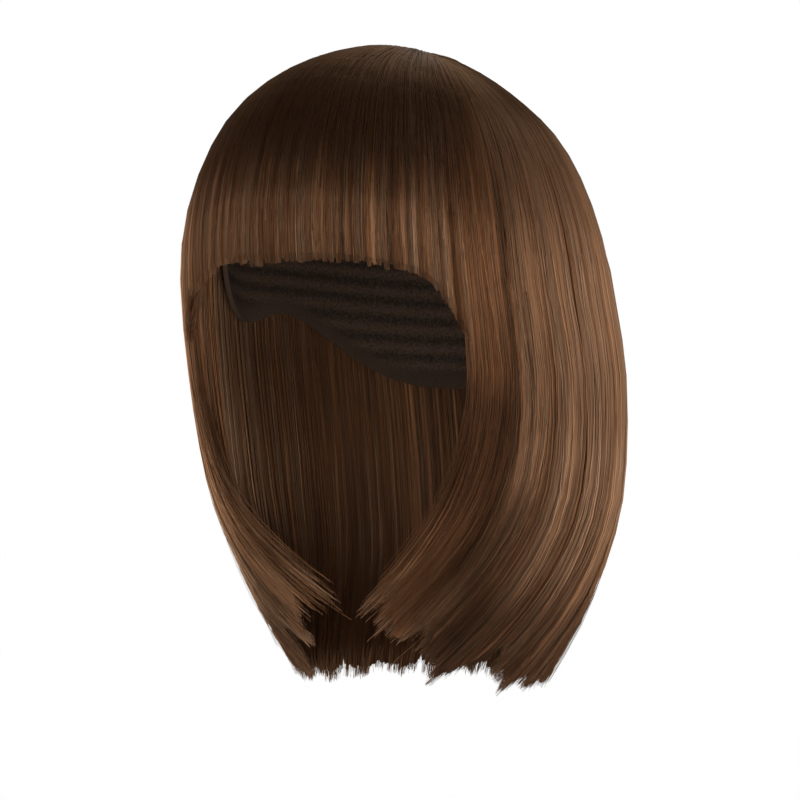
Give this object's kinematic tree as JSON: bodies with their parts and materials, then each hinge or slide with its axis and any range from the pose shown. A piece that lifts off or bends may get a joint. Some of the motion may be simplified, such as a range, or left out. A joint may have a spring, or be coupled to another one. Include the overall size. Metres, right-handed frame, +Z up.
{
  "type": "short wig",
  "caption": "Short bob wig with a full straight fringe, hair falling from a whorl at the crown and ends turned under, on a stretch cap that a head goes into.",
  "frame": {"origin": "middle of the cap's inside, where the top of the head meets it", "axes": "+Z up, -Y the way the wearer faces, +X the wearer's left"},
  "size_m": [0.2026, 0.2311, 0.3049],
  "materials": {
    "hair": "smooth chestnut brown synthetic hair with fine lighter and darker strands",
    "cap": "matt dark brown stretch net"
  },
  "bodies": {
    "root": {"cap": "cap", "crown_whorl": "hair", "fringe": "hair", "left_side_hair": "hair", "right_side_hair": "hair", "back_hair": "hair"}
  },
  "joints": []
}
